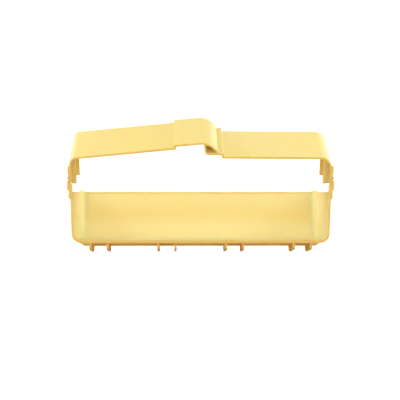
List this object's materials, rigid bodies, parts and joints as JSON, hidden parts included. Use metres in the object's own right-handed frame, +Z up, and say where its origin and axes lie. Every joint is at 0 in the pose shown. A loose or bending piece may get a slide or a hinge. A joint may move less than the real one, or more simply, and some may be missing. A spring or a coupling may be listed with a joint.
{
  "type": "cable raceway exit fitting",
  "caption": "Wide open-mouthed tray whose floor curves up a ramp to a rear lip, under a sloping cover split into two halves that hinge outward at the sides.",
  "frame": {"origin": "lower edge of the mouth, at the middle of its width, in the mouth plane", "axes": "+Z up, +Y from the mouth into the fitting, +X to the right when looking into the mouth"},
  "size_m": [0.3212, 0.1513, 0.1669],
  "materials": {
    "moulding": "satin",
    "hinge_plastic": "satin",
    "rivet": "satin",
    "pin": "satin"
  },
  "bodies": {
    "tray": {"tray": "moulding", "left_hinge_bracket": "hinge_plastic", "right_hinge_bracket": "hinge_plastic", "left_hinge_pin": "pin", "right_hinge_pin": "pin", "left_bracket_rivets": "rivet", "right_bracket_rivets": "rivet"},
    "left_half": {"left_cover": "moulding", "left_hinge_leaf": "hinge_plastic", "left_leaf_rivets": "rivet"},
    "right_half": {"right_cover": "moulding", "right_hinge_leaf": "hinge_plastic", "right_leaf_rivets": "rivet"}
  },
  "joints": [
    {"name": "left_cover_hinge", "type": "hinge", "parent": "tray", "child": "left_half", "pos_m": [-0.15915, 0.009, 0.0783], "axis": [0, -1, 0], "range_deg": [0, 105]},
    {"name": "right_cover_hinge", "type": "hinge", "parent": "tray", "child": "right_half", "pos_m": [0.15915, 0.009, 0.0783], "axis": [0, 1, 0], "range_deg": [0, 95]}
  ],
  "couplings": [
    {"joint": "right_cover_hinge", "follows": "left_cover_hinge", "ratio": 0.9}
  ]
}
